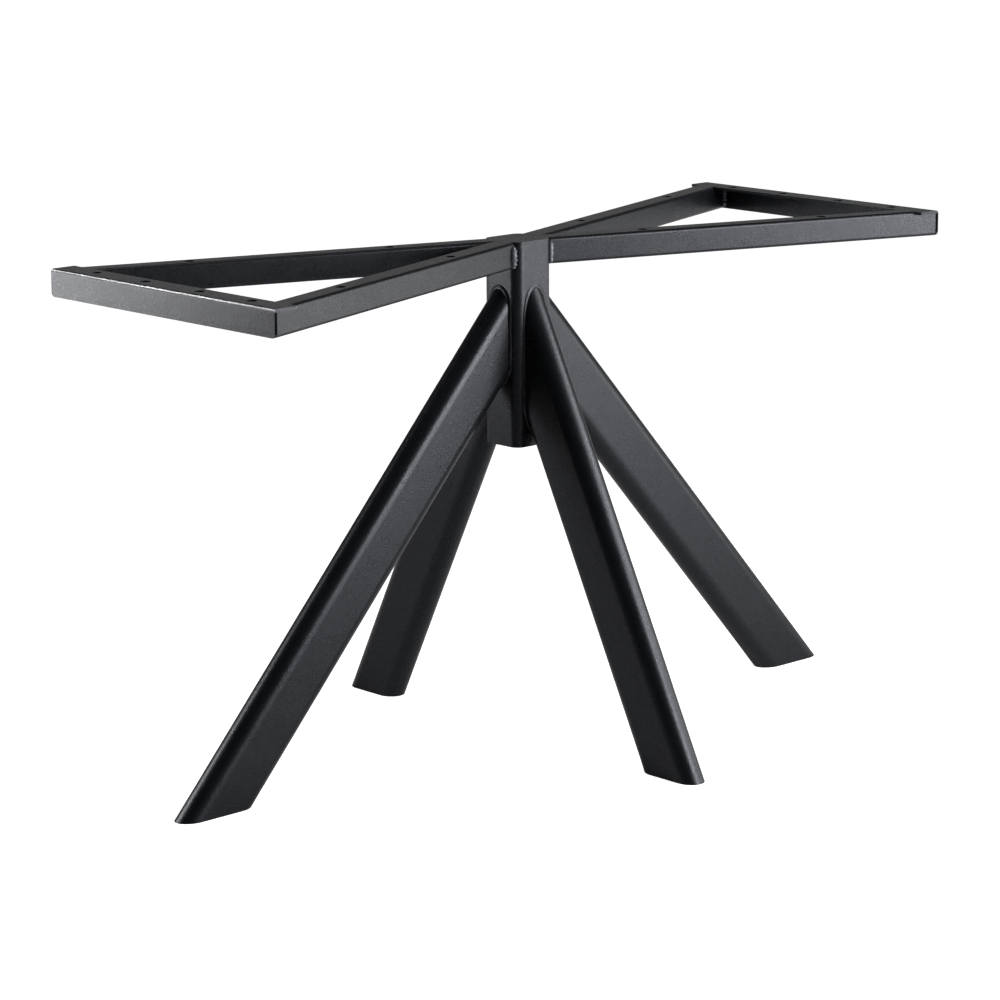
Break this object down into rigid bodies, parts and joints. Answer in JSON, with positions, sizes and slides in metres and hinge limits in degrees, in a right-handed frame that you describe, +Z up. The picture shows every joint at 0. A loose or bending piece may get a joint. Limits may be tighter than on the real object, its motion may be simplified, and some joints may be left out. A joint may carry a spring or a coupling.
{
  "type": "table base",
  "caption": "Black powder-coated welded steel table base: a bow-tie frame of tube arms and angle end bars with screw holes, on a short column with raking oval legs.",
  "frame": {"origin": "centre of the base on the floor, under the middle of the column", "axes": "+Z up along the column; X along the long way of the table, Y along the short way"},
  "size_m": [1.25, 0.7166, 0.71],
  "materials": {
    "powder_coat": "fine-textured satin black powder coat"
  },
  "bodies": {
    "root": {"column": "powder_coat", "column_cap": "powder_coat", "end_bar_right": "powder_coat", "end_bar_left": "powder_coat", "arm_back_right": "powder_coat", "arm_back_left": "powder_coat", "arm_front_right": "powder_coat", "arm_front_left": "powder_coat", "leg_right": "powder_coat", "leg_left": "powder_coat", "leg_back": "powder_coat", "leg_front": "powder_coat"}
  },
  "joints": []
}
